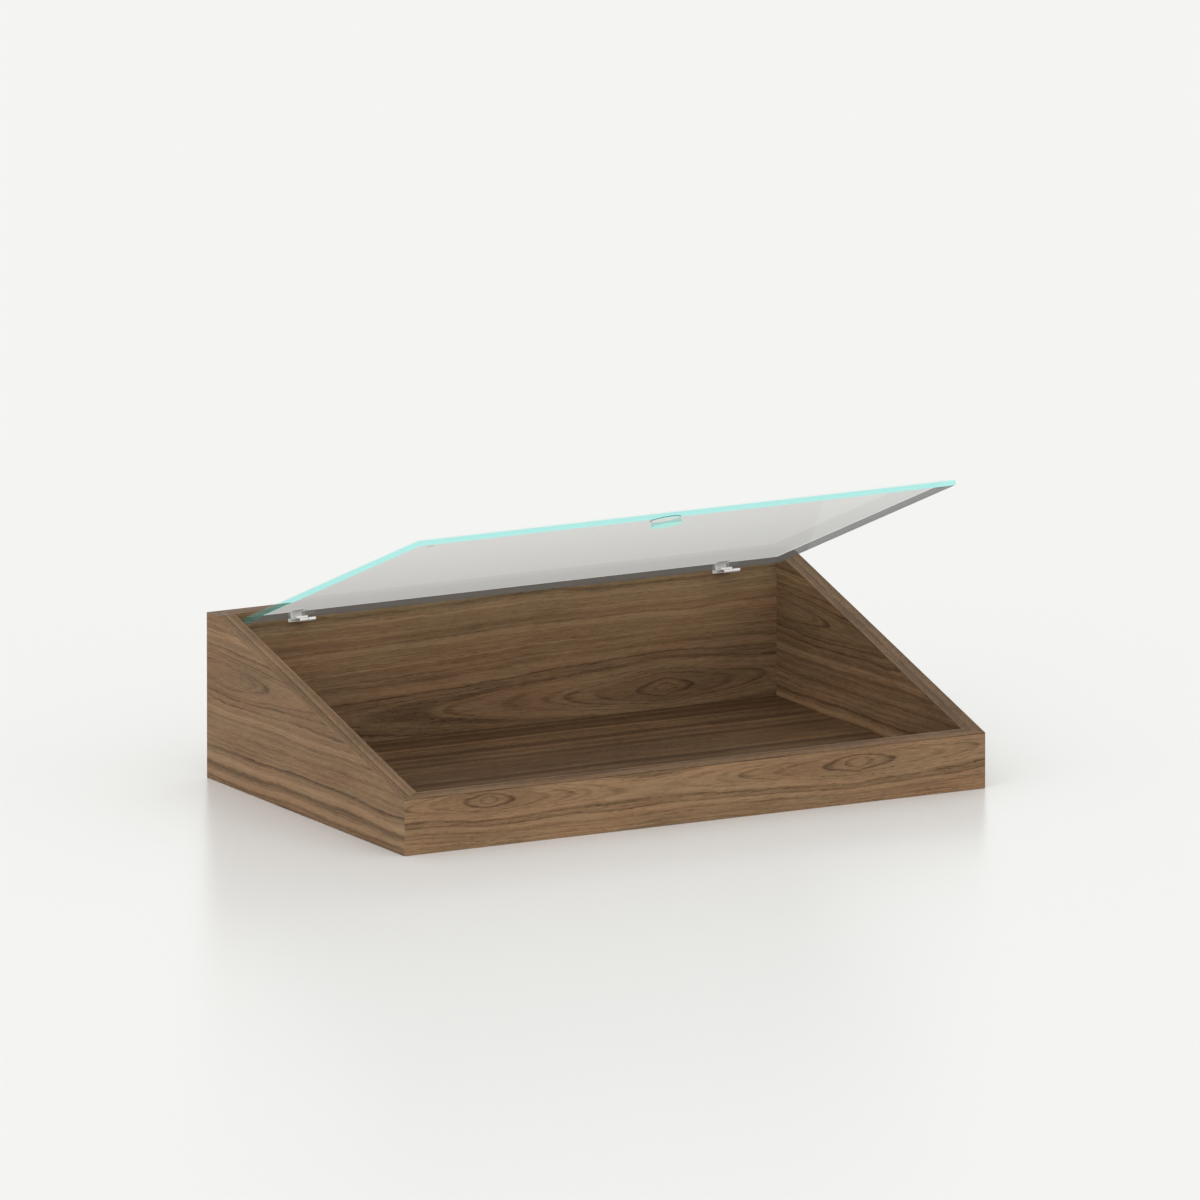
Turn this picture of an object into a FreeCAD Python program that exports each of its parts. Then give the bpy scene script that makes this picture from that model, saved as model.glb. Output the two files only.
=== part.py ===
import FreeCAD, Part
import os
from math import atan2, cos, degrees, radians, sin, sqrt, tan

# Countertop display case: a low walnut box with a sloping rim and a frameless glass lid on
# two clamp hinges. Millimetres, +Z up, +Y to the rear, origin under the middle of the case.
# The solids are at rest with the lid propped open, as it stands on a shop counter.

# Case walls
case_width = 600.0
case_depth = 379.0
case_height = 154.0
front_height = 52.0
flat_top_depth = 20.5
side_thickness = 19.0
rear_thickness = 19.0
front_thickness = 12.0
band_thickness = 1.0
corner_round = 0.8
rim_round = 0.7
foot_arris = 0.4

# Floor of the display space, held in grooves
floor_thickness = 12.0
floor_underside = 8.0
groove_depth = 6.0
groove_clearance = 0.3

# Biscuits that key the mitred corners
rear_biscuit_length = 47.0
rear_biscuit_width = 15.0
rear_biscuit_thickness = 4.0
rear_biscuit_heights = (50.0, 115.0)
front_biscuit_length = 24.0
front_biscuit_width = 10.0
front_biscuit_thickness = 3.0
front_biscuit_heights = (36.0,)
biscuit_place = 0.62
biscuit_clearance = 0.2

# Glass lid
lid_side_gap = 3.5
glass_thickness = 6.0
lid_front_overhang = 0.3
lid_open_angle = 22.04
closed_lid_gap = 0.8
glass_corner_radius = 2.0
glass_arris = 0.6
finger_hole_diameter = 28.0
finger_hole_inset = 45.0

# Clear bumpers under the front corners of the glass
bumper_diameter = 8.0
bumper_thickness = 0.7
bumper_inset = 6.0
bumper_side_inset = 15.0
bumper_bevel = 0.3

# Clamp hinges: a U-shaped clamp on the rear edge of the glass, its barrel below the glass
hinge_inset = 80.0
clamp_left = 8.3
clamp_right = 3.0
clamp_grip = 11.0
outer_jaw = 0.8
inner_jaw = 1.6
clamp_web = 1.0
clamp_round = 0.5
liner_thickness = 0.3
pivot_stand_off = 20.3
pivot_inset = 9.0
pivot_drop = 3.1
barrel_radius = 1.6
neck_width = 2.6
moving_knuckle_left = 5.3
knuckle_gap = 0.3
fixed_knuckle_length = 7.7
pin_radius = 0.8
pin_running_clearance = 0.05
pin_head_length = 0.7
pin_head_bevel = 0.4

# Grub screws that press the clamp on the glass
grub_radius = 1.25
grub_spacing = 5.8
grub_inset = 3.5
grub_proud = 0.2
grub_clearance = 0.05
grub_socket_flats = 1.3
grub_socket_depth = 0.9

# Fixed brackets on the inner face of the rear wall
bracket_thickness = 1.2
bracket_fall = 12.0
leaf_width = 17.0
leaf_top_margin = 1.1
leaf_round = 1.5
bend_reach = 0.8
screw_spacing = 9.0
screw_head_radius = 2.3
screw_shank_radius = 1.25
screw_length = 12.0
screw_tip_length = 2.0
screw_slot_width = 0.6
screw_slot_depth = 0.5
screw_clearance = 0.05

# Places that follow from the sizes
half_width = case_width / 2
half_depth = case_depth / 2
inner_half_width = half_width - side_thickness
rear_inner_y = half_depth - rear_thickness
front_inner_y = front_thickness - half_depth
slope = atan2(case_height - front_height, case_depth - flat_top_depth)
floor_top = floor_underside + floor_thickness
lid_width = 2 * (inner_half_width - lid_side_gap)

# The pivot stands off the rear wall. The closed lid lies parallel to the sloping rim with its
# front edge at the front face, which gives the pivot's height and the length of the glass.
pivot_lift = closed_lid_gap - pivot_drop
pivot_y = rear_inner_y - pivot_stand_off
pivot_reach = pivot_y + half_depth + lid_front_overhang + pivot_lift * sin(slope)
pivot_z = front_height + pivot_reach * tan(slope) + pivot_lift * cos(slope)
lid_length = pivot_inset + pivot_reach / cos(slope)
closing_angle = lid_open_angle + degrees(slope)

X_AXIS = FreeCAD.Vector(1, 0, 0)
Z_AXIS = FreeCAD.Vector(0, 0, 1)


def vector(x, y, z):
    return FreeCAD.Vector(x, y, z)


def block(x0, x1, y0, y1, z0, z1):
    return Part.makeBox(x1 - x0, y1 - y0, z1 - z0, vector(x0, y0, z0))


def bar(outline, x0, x1):
    """Extrude a closed outline of (y, z) points from x0 to x1."""
    points = [vector(x0, y, z) for y, z in outline]
    face = Part.Face(Part.makePolygon(points + points[:1]))
    return face.extrude(vector(x1 - x0, 0, 0))


def prism(outline, z0, z1):
    """Extrude a closed outline of (x, y) points from z0 to z1."""
    points = [vector(x, y, z0) for x, y in outline]
    face = Part.Face(Part.makePolygon(points + points[:1]))
    return face.extrude(vector(0, 0, z1 - z0))


def rod(radius, x0, x1, y, z):
    """A round bar along X."""
    return Part.makeCylinder(radius, x1 - x0, vector(x0, y, z), X_AXIS)


def edges_where(shape, test):
    return [edge for edge in shape.Edges if test(edge)]


def runs_along_x(edge):
    first, last = edge.firstVertex().Point, edge.lastVertex().Point
    return abs(first.y - last.y) < 1e-6 and abs(first.z - last.z) < 1e-6


def save(node, shape):
    shape.exportStep(os.path.join("parts", node + ".step"))


# Walls: each is the case's outline in the side view, cut to its own mitred plan

def case_outline(drop):
    """Side view of the case with its top lowered square to itself by drop."""
    front_top = front_height - drop / cos(slope)
    rear_top = case_height - drop
    bend_y = -half_depth + (rear_top - front_top) / tan(slope)
    return [
        (-half_depth, 0),
        (half_depth, 0),
        (half_depth, rear_top),
        (bend_y, rear_top),
        (-half_depth, front_top),
    ]


def band_outline():
    """The strip between the rim and the walls' own top, with its bend."""
    rim = case_outline(0)[2:]
    core = case_outline(band_thickness)[2:]
    return rim + core[::-1]


def mitred_plans():
    rear_left = (-half_width, half_depth)
    rear_right = (half_width, half_depth)
    front_left = (-half_width, -half_depth)
    front_right = (half_width, -half_depth)
    inner_rear_left = (-inner_half_width, rear_inner_y)
    inner_rear_right = (inner_half_width, rear_inner_y)
    inner_front_left = (-inner_half_width, front_inner_y)
    inner_front_right = (inner_half_width, front_inner_y)
    return {
        "left_side": [rear_left, front_left, inner_front_left, inner_rear_left],
        "right_side": [rear_right, inner_rear_right, inner_front_right, front_right],
        "rear": [rear_left, inner_rear_left, inner_rear_right, rear_right],
        "front": [front_left, front_right, inner_front_right, inner_front_left],
    }


def case_envelope():
    """The outside of the case, with softened upright corners and foot edges."""
    box = block(-half_width, half_width, -half_depth, half_depth, 0, case_height)
    upright = edges_where(box, lambda edge: abs(edge.tangentAt(0).z) > 0.5)
    box = box.makeFillet(corner_round, upright)
    foot = edges_where(box, lambda edge: edge.BoundBox.ZMax < 1e-6)
    return box.makeChamfer(foot_arris, foot)


def softened_band(outline, x0, x1):
    """A band over the whole length of its wall, with its two upper long edges rounded."""
    strip = bar(outline, x0, x1)
    rims = edges_where(strip, lambda edge: is_upper_long_edge(edge, x0, x1))
    return strip.makeFillet(rim_round, rims)


def on_rim(point):
    """True where a point lies on the rim: the level top or the slope."""
    sloping = front_height + (point.y + half_depth) * tan(slope)
    return abs(point.z - min(sloping, case_height)) < 1e-4


def is_upper_long_edge(edge, x0, x1):
    first, last = edge.firstVertex().Point, edge.lastVertex().Point
    if not (on_rim(first) and on_rim(last)):
        return False
    if x1 - x0 > side_thickness + 1:
        return runs_along_x(edge)
    same_side = abs(first.x - last.x) < 1e-6
    return same_side


def cross_band(y0, y1):
    """Outline of the band on the front or rear wall, between y0 and y1."""
    strip = bar(band_outline(), 0, 1)
    cut = strip.common(block(0, 1, y0, y1, 0, case_height))
    end = [face for face in cut.Faces if face.CenterOfMass.x < 1e-6][0]
    return [(v.Point.y, v.Point.z) for v in end.OuterWire.OrderedVertexes]


def groove():
    reach_x = inner_half_width + groove_depth
    return block(-reach_x, reach_x, front_inner_y - groove_depth, rear_inner_y + groove_depth,
                 floor_underside, floor_top)


def floor_panel():
    reach_x = inner_half_width + groove_depth - groove_clearance
    reach_y = groove_depth - groove_clearance
    return block(-reach_x, reach_x, front_inner_y - reach_y, rear_inner_y + reach_y,
                 floor_underside, floor_top)


# Biscuits

def biscuit(length, width, thickness, grow):
    """A lens-shaped wooden key, long way up, its flat sides facing along X."""
    length, width, thickness = length + 2 * grow, width + 2 * grow, thickness + 2 * grow
    bow = (length ** 2 + width ** 2) / (4 * width)
    left = Part.makeCylinder(bow, thickness, vector(-thickness / 2, width / 2 - bow, 0), X_AXIS)
    right = Part.makeCylinder(bow, thickness, vector(-thickness / 2, bow - width / 2, 0), X_AXIS)
    return left.common(right)


def corner_biscuits(side, end, grow=0.0):
    """The keys of one corner, square to its mitre, in a group. side and end are -1 or +1."""
    if end > 0:
        sizes = (rear_biscuit_length, rear_biscuit_width, rear_biscuit_thickness)
        heights, wall = rear_biscuit_heights, rear_thickness
    else:
        sizes = (front_biscuit_length, front_biscuit_width, front_biscuit_thickness)
        heights, wall = front_biscuit_heights, front_thickness
    mitre_x, mitre_y = -side * side_thickness, -end * wall
    x = side * half_width + biscuit_place * mitre_x
    y = end * half_depth + biscuit_place * mitre_y
    turn = degrees(atan2(mitre_y, mitre_x))
    keys = []
    for z in heights:
        key = biscuit(*sizes, grow)
        key.rotate(vector(0, 0, 0), Z_AXIS, turn)
        key.translate(vector(x, y, z))
        keys.append(key)
    return Part.Compound(keys)


# Lid: modelled flat, with the lower rear edge of the glass on the X axis and its front
# towards -Y, then swung about the pivot to its open place

def to_rest(shape):
    shape = shape.copy()
    shape.translate(vector(0, pivot_inset, pivot_drop))
    shape.rotate(vector(0, 0, 0), X_AXIS, -lid_open_angle)
    shape.translate(vector(0, pivot_y, pivot_z))
    return shape


def glass_lid():
    half = lid_width / 2
    sheet = block(-half, half, -lid_length, 0, 0, glass_thickness)
    corners = edges_where(sheet, lambda edge: abs(edge.tangentAt(0).z) > 0.5)
    sheet = sheet.makeFillet(glass_corner_radius, corners)
    hole = Part.makeCylinder(finger_hole_diameter / 2, glass_thickness,
                             vector(0, finger_hole_inset - lid_length, 0))
    sheet = sheet.cut(hole)
    flat = edges_where(sheet, lambda edge: edge.BoundBox.ZLength < 1e-6)
    return sheet.makeChamfer(glass_arris, flat)


def lid_bumper(side):
    x = side * (lid_width / 2 - bumper_side_inset)
    dot = Part.makeCylinder(bumper_diameter / 2, bumper_thickness,
                            vector(x, bumper_inset - lid_length, -bumper_thickness))
    foot = edges_where(dot, lambda edge: edge.BoundBox.ZMax < 1e-6 - bumper_thickness)
    return dot.makeChamfer(bumper_bevel, foot)


def grub_places(x):
    middle = x + (clamp_right - clamp_left) / 2
    return [middle - grub_spacing / 2, middle + grub_spacing / 2]


def clamp(x):
    """The U over the glass's rear edge, with half of the hinge barrel under its inner jaw."""
    x0, x1 = x - clamp_left, x + clamp_right
    low, high = -liner_thickness - inner_jaw, glass_thickness + liner_thickness + outer_jaw
    back = liner_thickness + clamp_web
    body = block(x0, x1, -clamp_grip, back, low, high)
    outside = edges_where(body, lambda edge: runs_along_x(edge) and edge.BoundBox.YMin > 0)
    tips = edges_where(body, lambda edge: runs_along_x(edge) and edge.BoundBox.YMax < 0)
    body = body.makeFillet(clamp_round, outside + tips)
    neck = block(x - moving_knuckle_left, x1, -pivot_inset - neck_width / 2,
                 -pivot_inset + neck_width / 2, -pivot_drop, low + inner_jaw / 2)
    barrel = rod(barrel_radius, x - moving_knuckle_left, x1, -pivot_inset, -pivot_drop)
    body = body.fuse([neck, barrel])
    mouth = block(x0, x1, -clamp_grip, liner_thickness,
                  -liner_thickness, glass_thickness + liner_thickness)
    bore = rod(pin_radius + pin_running_clearance, x0, x1, -pivot_inset, -pivot_drop)
    threads = [Part.makeCylinder(grub_radius + grub_clearance, inner_jaw,
                                 vector(place, -grub_inset, low)) for place in grub_places(x)]
    return body.cut([mouth, bore] + threads).removeSplitter()


def clamp_liner(x):
    """A thin folded strip that keeps the metal off the glass."""
    x0, x1 = x - clamp_left, x + clamp_right
    outside = block(x0, x1, -clamp_grip, liner_thickness,
                    -liner_thickness, glass_thickness + liner_thickness)
    return outside.cut(block(x0, x1, -clamp_grip, 0, 0, glass_thickness))


def hexagon(x, y, flats, z0, z1):
    corner = flats / sqrt(3)
    points = [(x + corner * cos(radians(60 * i)), y + corner * sin(radians(60 * i)))
              for i in range(6)]
    return prism(points, z0, z1)


def grub_screws(x):
    top = -liner_thickness
    tip = top - inner_jaw - grub_proud
    screws = []
    for place in grub_places(x):
        screw = Part.makeCylinder(grub_radius, top - tip, vector(place, -grub_inset, tip))
        socket = hexagon(place, -grub_inset, grub_socket_flats, tip, tip + grub_socket_depth)
        screws.append(screw.cut(socket))
    return Part.Compound(screws)


# Fixed half of each hinge, modelled in place

fixed_left = clamp_right + knuckle_gap
fixed_right = fixed_left + fixed_knuckle_length
leaf_front_y = rear_inner_y - bracket_thickness
leaf_top = case_height - leaf_top_margin


def arm_point(offset, y):
    """Height at y of a line that falls to the rear, offset square to it from the pivot."""
    fall = radians(bracket_fall)
    return pivot_z + offset / cos(fall) - (y - pivot_y) * tan(fall)


leaf_bottom = arm_point(-barrel_radius, leaf_front_y)
screw_z = (leaf_bottom + leaf_top) / 2


def screw_places(x):
    middle = x + fixed_right - leaf_width / 2
    return [middle - screw_spacing / 2, middle + screw_spacing / 2]


def hinge_bracket(x):
    """Fixed knuckle, an arm that falls to the rear under the glass, and a leaf on the wall."""
    x0, x1 = x + fixed_left, x + fixed_right
    leaf = block(x1 - leaf_width, x1, leaf_front_y, rear_inner_y, leaf_bottom, leaf_top)
    corners = edges_where(leaf, lambda edge: abs(edge.tangentAt(0).y) > 0.5
                          and edge.CenterOfMass.z > leaf_top - 1)
    leaf = leaf.makeFillet(leaf_round, corners)
    upper = bracket_thickness - barrel_radius
    arm_outline = [
        (pivot_y, arm_point(-barrel_radius, pivot_y)),
        (leaf_front_y, leaf_bottom),
        (leaf_front_y, arm_point(upper, leaf_front_y) + bend_reach),
        (leaf_front_y - bend_reach, arm_point(upper, leaf_front_y - bend_reach)),
        (pivot_y, arm_point(upper, pivot_y)),
    ]
    arm = bar(arm_outline, x0, x1)
    knuckle = rod(barrel_radius, x0, x1, pivot_y, pivot_z)
    body = leaf.fuse([arm, knuckle])
    cuts = [rod(pin_radius, x0, x1, pivot_y, pivot_z)]
    cuts += [countersunk(place, screw_clearance) for place in screw_places(x)]
    return body.cut(cuts)


def countersunk(x, grow):
    """A countersunk screw's outline turned about its axis, head flush with the leaf."""
    head, shank = screw_head_radius + grow, screw_shank_radius + grow
    cone = head - shank
    tip = screw_length + grow
    points = [
        vector(0, 0, 0),
        vector(head, 0, 0),
        vector(shank, cone, 0),
        vector(shank, tip - screw_tip_length, 0),
        vector(0, tip, 0),
    ]
    face = Part.Face(Part.makePolygon(points + points[:1]))
    solid = face.revolve(vector(0, 0, 0), vector(0, 1, 0), 360)
    solid.translate(vector(x, leaf_front_y, screw_z))
    return solid


def bracket_screws(x):
    screws = []
    for place in screw_places(x):
        slot = block(place - screw_head_radius, place + screw_head_radius, leaf_front_y,
                     leaf_front_y + screw_slot_depth, screw_z - screw_slot_width / 2,
                     screw_z + screw_slot_width / 2)
        screws.append(countersunk(place, 0).cut(slot))
    return Part.Compound(screws)


def hinge_pin(x):
    """Pressed into the fixed knuckle, with a bevelled head at its right end."""
    end = x + fixed_right
    shank = rod(pin_radius, x - moving_knuckle_left, end, pivot_y, pivot_z)
    head = rod(barrel_radius, end, end + pin_head_length, pivot_y, pivot_z)
    rim = edges_where(head, lambda edge: edge.BoundBox.XMin > end + pin_head_length - 1e-4)
    return shank.fuse(head.makeChamfer(pin_head_bevel, rim)).removeSplitter()


def main():
    os.makedirs("parts", exist_ok=True)
    envelope = case_envelope()
    plans = mitred_plans()
    floor_groove = groove()
    slots = {(side, end): corner_biscuits(side, end, biscuit_clearance)
             for side in (-1, 1) for end in (-1, 1)}
    hinge_xs = {"left": hinge_inset - half_width, "right": half_width - hinge_inset}
    pilot_holes = [countersunk(place, screw_clearance)
                   for x in hinge_xs.values() for place in screw_places(x)]

    core = bar(case_outline(band_thickness), -half_width, half_width).common(envelope)
    joined = {"left_side": [(-1, -1), (-1, 1)], "right_side": [(1, -1), (1, 1)],
              "rear": [(-1, 1), (1, 1)], "front": [(-1, -1), (1, -1)]}
    for name, plan in plans.items():
        wall = core.common(prism(plan, 0, case_height))
        wall = wall.cut([floor_groove] + [slots[corner] for corner in joined[name]])
        if name == "rear":
            wall = wall.cut(pilot_holes)
        save(name + "_panel", wall)

    strips = {
        "left_side": softened_band(band_outline(), -half_width, -inner_half_width),
        "right_side": softened_band(band_outline(), inner_half_width, half_width),
        "rear": softened_band(cross_band(rear_inner_y, half_depth), -half_width, half_width),
        "front": softened_band(cross_band(-half_depth, front_inner_y), -half_width, half_width),
    }
    for name, strip in strips.items():
        band = strip.common(prism(plans[name], 0, case_height)).common(envelope)
        save(name + "_edge_band", band)

    save("floor_panel", floor_panel())
    for side, side_name in ((-1, "left"), (1, "right")):
        save("rear_" + side_name + "_biscuits", corner_biscuits(side, 1))
        save("front_" + side_name + "_biscuit", corner_biscuits(side, -1))

    save("glass_lid", to_rest(glass_lid()))
    for side_name, x in hinge_xs.items():
        save(side_name + "_clamp", to_rest(clamp(x)))
        save(side_name + "_clamp_liner", to_rest(clamp_liner(x)))
        save(side_name + "_grub_screws", to_rest(grub_screws(x)))
        save(side_name + "_hinge_bracket", hinge_bracket(x))
        save(side_name + "_hinge_pin", hinge_pin(x))
        save(side_name + "_bracket_screws", bracket_screws(x))
    save("left_lid_bumper", to_rest(lid_bumper(-1)))
    save("right_lid_bumper", to_rest(lid_bumper(1)))

    print("lid length %.2f, pivot y %.3f z %.3f" % (lid_length, pivot_y, pivot_z))
    print("closing angle %.3f degrees" % closing_angle)


main()
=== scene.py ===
# %% [markdown]
# # A countertop display case in walnut, with a glass lid
#
# The case is a low box of mitred walnut boards, cut off at a slope, with a frameless glass lid
# that two small clamp hinges hold open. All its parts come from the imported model, in metres:
# +X is to the right, +Y to the rear and +Z up. This lesson gives each part its finish, makes
# the few pieces anew whose form needs a finer mesh, and sets up floor, light and camera.

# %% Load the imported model
from math import radians

import bpy
from mathutils import Matrix, Vector


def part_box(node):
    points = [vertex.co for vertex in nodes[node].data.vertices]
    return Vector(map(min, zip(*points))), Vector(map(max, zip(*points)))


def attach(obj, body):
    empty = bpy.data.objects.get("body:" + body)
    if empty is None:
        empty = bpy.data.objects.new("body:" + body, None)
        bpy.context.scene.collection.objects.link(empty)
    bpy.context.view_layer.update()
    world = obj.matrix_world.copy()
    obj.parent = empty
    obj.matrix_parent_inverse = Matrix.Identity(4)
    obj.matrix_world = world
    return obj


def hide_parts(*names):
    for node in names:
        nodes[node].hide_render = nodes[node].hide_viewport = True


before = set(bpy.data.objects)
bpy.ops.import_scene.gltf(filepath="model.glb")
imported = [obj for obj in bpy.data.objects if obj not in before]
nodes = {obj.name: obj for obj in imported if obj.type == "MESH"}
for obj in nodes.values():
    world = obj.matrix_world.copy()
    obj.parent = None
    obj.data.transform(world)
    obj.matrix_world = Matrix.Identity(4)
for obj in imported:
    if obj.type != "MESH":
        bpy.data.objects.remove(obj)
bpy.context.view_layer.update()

# %% [markdown]
# ## Helpers for shader nodes
#
# A shader can be wired by hand in the node editor. In a script the same wiring gets long, so
# helpers take it up. One adds a node with its options and inputs, another a sum. Two more come
# up in every grain and mask: a noise value centred on zero, and a smooth step between limits.

# %% Nodes and sums


def add_node(tree, kind, inputs=None, **options):
    """A new node; an input is a number, a colour or another node's output."""
    made = tree.nodes.new(kind)
    for name, value in options.items():
        setattr(made, name, value)
    for name, value in (inputs or {}).items():
        if isinstance(value, bpy.types.NodeSocket):
            tree.links.new(value, made.inputs[name])
        else:
            made.inputs[name].default_value = value
    return made


def calc(tree, operation, *values):
    """The output of a Math node that works on numbers and outputs."""
    made = add_node(tree, "ShaderNodeMath", dict(enumerate(values)), operation=operation)
    return made.outputs[0]


def centred(tree, value, size):
    """A noise value moved from 0..1 to -size..size."""
    return calc(tree, "MULTIPLY", calc(tree, "SUBTRACT", value, 0.5), 2 * size)


def band(tree, value, low, high, low_out=0.0, high_out=1.0):
    """A smooth step from low_out to high_out while the value goes from low to high."""
    made = add_node(tree, "ShaderNodeMapRange",
                    {"Value": value, "From Min": low, "From Max": high, "To Min": low_out,
                     "To Max": high_out}, interpolation_type="SMOOTHSTEP")
    return made.outputs[0]


print("helpers for nodes, sums and steps ready")

# %% [markdown]
# ## Helpers for colours, materials and groups
#
# A colour is mixed by a share or picked from a ramp of stops. A new material starts with one
# Principled shader. A node group is a piece of wiring that several materials use, and its named
# inputs and outputs are the only way in and out.

# %% Colours, materials and groups
FIRST_COLOUR = 6
SECOND_COLOUR = 7
MIXED_COLOUR = 2


def ramp(tree, value, stops):
    """The colour that a value gets from a list of (position, colour) stops."""
    made = add_node(tree, "ShaderNodeValToRGB", {"Fac": value})
    points = made.color_ramp.elements
    while len(points) < len(stops):
        points.new(0.5)
    for point, (position, colour) in zip(points, stops):
        point.position = position
        point.color = (*colour, 1)
    return made.outputs["Color"]


def blend_colours(tree, share, first, second, way="MIX"):
    """A mix of two colours by a share from 0 to 1."""
    made = add_node(tree, "ShaderNodeMix", data_type="RGBA", blend_type=way)
    for number, value in ((0, share), (FIRST_COLOUR, first), (SECOND_COLOUR, second)):
        if isinstance(value, bpy.types.NodeSocket):
            tree.links.new(value, made.inputs[number])
        else:
            made.inputs[number].default_value = value
    return made.outputs[MIXED_COLOUR]


def new_material(name):
    """An empty material, its node tree and its Principled shader."""
    material = bpy.data.materials.new(name)
    material.use_nodes = True
    tree = material.node_tree
    return material, tree, tree.nodes["Principled BSDF"]


def group_sockets(tree, inputs, outputs):
    """Names the inputs and outputs of a node group, and adds the two nodes that hold them."""
    for name, kind, value in inputs:
        socket = tree.interface.new_socket(name, in_out="INPUT", socket_type=kind)
        socket.default_value = value
    for name, kind in outputs:
        tree.interface.new_socket(name, in_out="OUTPUT", socket_type=kind)
    return tree.nodes.new("NodeGroupInput").outputs, tree.nodes.new("NodeGroupOutput").inputs


print("helpers for colours, materials and groups ready")

# %% [markdown]
# ## Camera
#
# The picture is drawn in parallel projection. An orthographic camera gives that, but when it is
# walked round the case at a low height, its lower rays start below the floor. A camera forty
# metres away with a very long lens draws the same picture to about a pixel, and stays above the
# floor, so it is used here. It stands 28.6 degrees to the left of the front and 12.1 degrees
# above the counter. Its three axes are given as vectors, and the middle of the view lies above
# the middle of the case, because the open lid stands high. The picture is 1.09 m wide in a plane
# a little in front of that middle.

# %% Camera
LENS = 1350
VIEW_WIDTH = 1.0886
VIEW_ASIDE = 0.0032
VIEW_HEIGHT = 0.1661
FRONT_OF_MIDDLE = 0.1
back = Vector((-0.4675, -0.8586, 0.2103)).normalized()
right = Vector((0.8782, -0.4782, 0)).normalized()
up = back.cross(right)
view_middle = right * VIEW_ASIDE + up * VIEW_HEIGHT
camera_data = bpy.data.cameras.new("camera")
camera_data.lens = LENS
camera_distance = VIEW_WIDTH * camera_data.lens / camera_data.sensor_width + FRONT_OF_MIDDLE
camera = bpy.data.objects.new("camera", camera_data)
bpy.context.scene.collection.objects.link(camera)
turn = Matrix((right, up, back)).transposed().to_4x4()
camera.matrix_world = Matrix.Translation(view_middle + back * camera_distance) @ turn
bpy.context.scene.camera = camera
bpy.context.scene.view_settings.view_transform = "Standard"
print("camera", round(camera_distance, 2), "m from the middle of the view")

# %% [markdown]
# ## The studio's even light
#
# The case stands in a pale studio where light comes from all around. A world colour gives this
# at once, where a dozen lamps would be slow. What camera, mirror and glass see of the world is
# taken apart from the light it gives, with the Light Path node, so that the background can be
# near white while the wood isn't overlit.

# %% World
AMBIENT = (0.82, 0.82, 0.815, 1)
BACKGROUND = (0.91, 0.92, 0.90, 1)
world = bpy.data.worlds.new("studio")
bpy.context.scene.world = world
world.use_nodes = True
sky = world.node_tree
sky.nodes.clear()
path = add_node(sky, "ShaderNodeLightPath")
seen = calc(sky, "MAXIMUM", path.outputs["Is Camera Ray"], path.outputs["Is Glossy Ray"])
seen = calc(sky, "MAXIMUM", seen, path.outputs["Is Transmission Ray"])
sky_colour = blend_colours(sky, seen, AMBIENT, BACKGROUND)
background = add_node(sky, "ShaderNodeBackground", {"Color": sky_colour, "Strength": 1.0})
output = add_node(sky, "ShaderNodeOutputWorld")
sky.links.new(background.outputs[0], output.inputs[0])
print("world with", len(sky.nodes), "nodes")

# %% [markdown]
# ## Two soft suns
#
# The light is a little stronger from the upper left and the front, so the left wall is about as
# bright as the front one. Suns add that direction, and because they are very wide, their shadows
# stay soft.

# %% Suns


def add_sun(name, towards, strength, width):
    """A sun that stands in the direction 'towards', 'width' degrees wide."""
    data = bpy.data.lights.new(name, "SUN")
    data.energy = strength
    data.angle = radians(width)
    sun = bpy.data.objects.new(name, data)
    sun.rotation_euler = Vector(towards).to_track_quat("Z", "Y").to_euler()
    bpy.context.scene.collection.objects.link(sun)
    print("sun", name, "strength", strength)


add_sun("window_left", (-0.75, -0.55, 0.50), 0.65, 60)
add_sun("fill_front", (0.25, -0.85, 0.40), 0.38, 90)

# %% [markdown]
# ## The surface it stands on
#
# A plain pale board with a soft sheen: close to the case it shows a blurred mirror image that
# fades with distance. Diffuse white with a rough gloss does both, and keeps the case's shadow.

# %% Floor
FLOOR_SIZE = 24
FLOOR_COLOUR = (0.93, 0.93, 0.915, 1)
FLOOR_ROUGHNESS = 0.26
FLOOR_GLOSS = 1.75
bpy.ops.object.select_all(action="DESELECT")
bpy.ops.mesh.primitive_plane_add(size=FLOOR_SIZE, location=(0, 0, 0))
studio_floor = bpy.context.object
studio_floor.name = "studio_floor"
floor_paint, tree, shader = new_material("pale_floor")
shader.inputs["Base Color"].default_value = FLOOR_COLOUR
shader.inputs["Roughness"].default_value = FLOOR_ROUGHNESS
shader.inputs["IOR"].default_value = FLOOR_GLOSS
studio_floor.data.materials.append(floor_paint)
print("floor", studio_floor.dimensions[:])

# %% [markdown]
# ## Walnut veneer
#
# The boards are veneered with plain-sawn walnut. Its growth rings show as long nested ovals and
# arches, because the cut runs nearly along the trunk. A picture of wood could be laid on, but it
# would repeat or stretch on a board of another size. So one node group draws the figure from
# the place on the board, counted in millimetres along and across the grain. It serves every
# board, and a material only says where its ovals have their middle, here called an eye.

# %% Inputs and outputs of the walnut group
MM = 1000
NO_EYE = (-900, -900)
veneer = bpy.data.node_groups.new("walnut_veneer", "ShaderNodeTree")
given, put_out = group_sockets(
    veneer,
    [("Place", "NodeSocketVector", (0, 0, 0)), ("Eye", "NodeSocketVector", (0, 0, 0)),
     ("Spread", "NodeSocketFloat", 2.6), ("Second Eye", "NodeSocketVector", (*NO_EYE, 0)),
     ("Ring Pitch", "NodeSocketFloat", 3.2), ("Waver", "NodeSocketFloat", 5.0),
     ("Tone", "NodeSocketFloat", 0.5), ("Contrast", "NodeSocketFloat", 1.0),
     ("Fade", "NodeSocketFloat", 0.0), ("Seed", "NodeSocketFloat", 0.0)],
    [("Color", "NodeSocketColor"), ("Roughness", "NodeSocketFloat"),
     ("Height", "NodeSocketFloat")])
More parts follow.
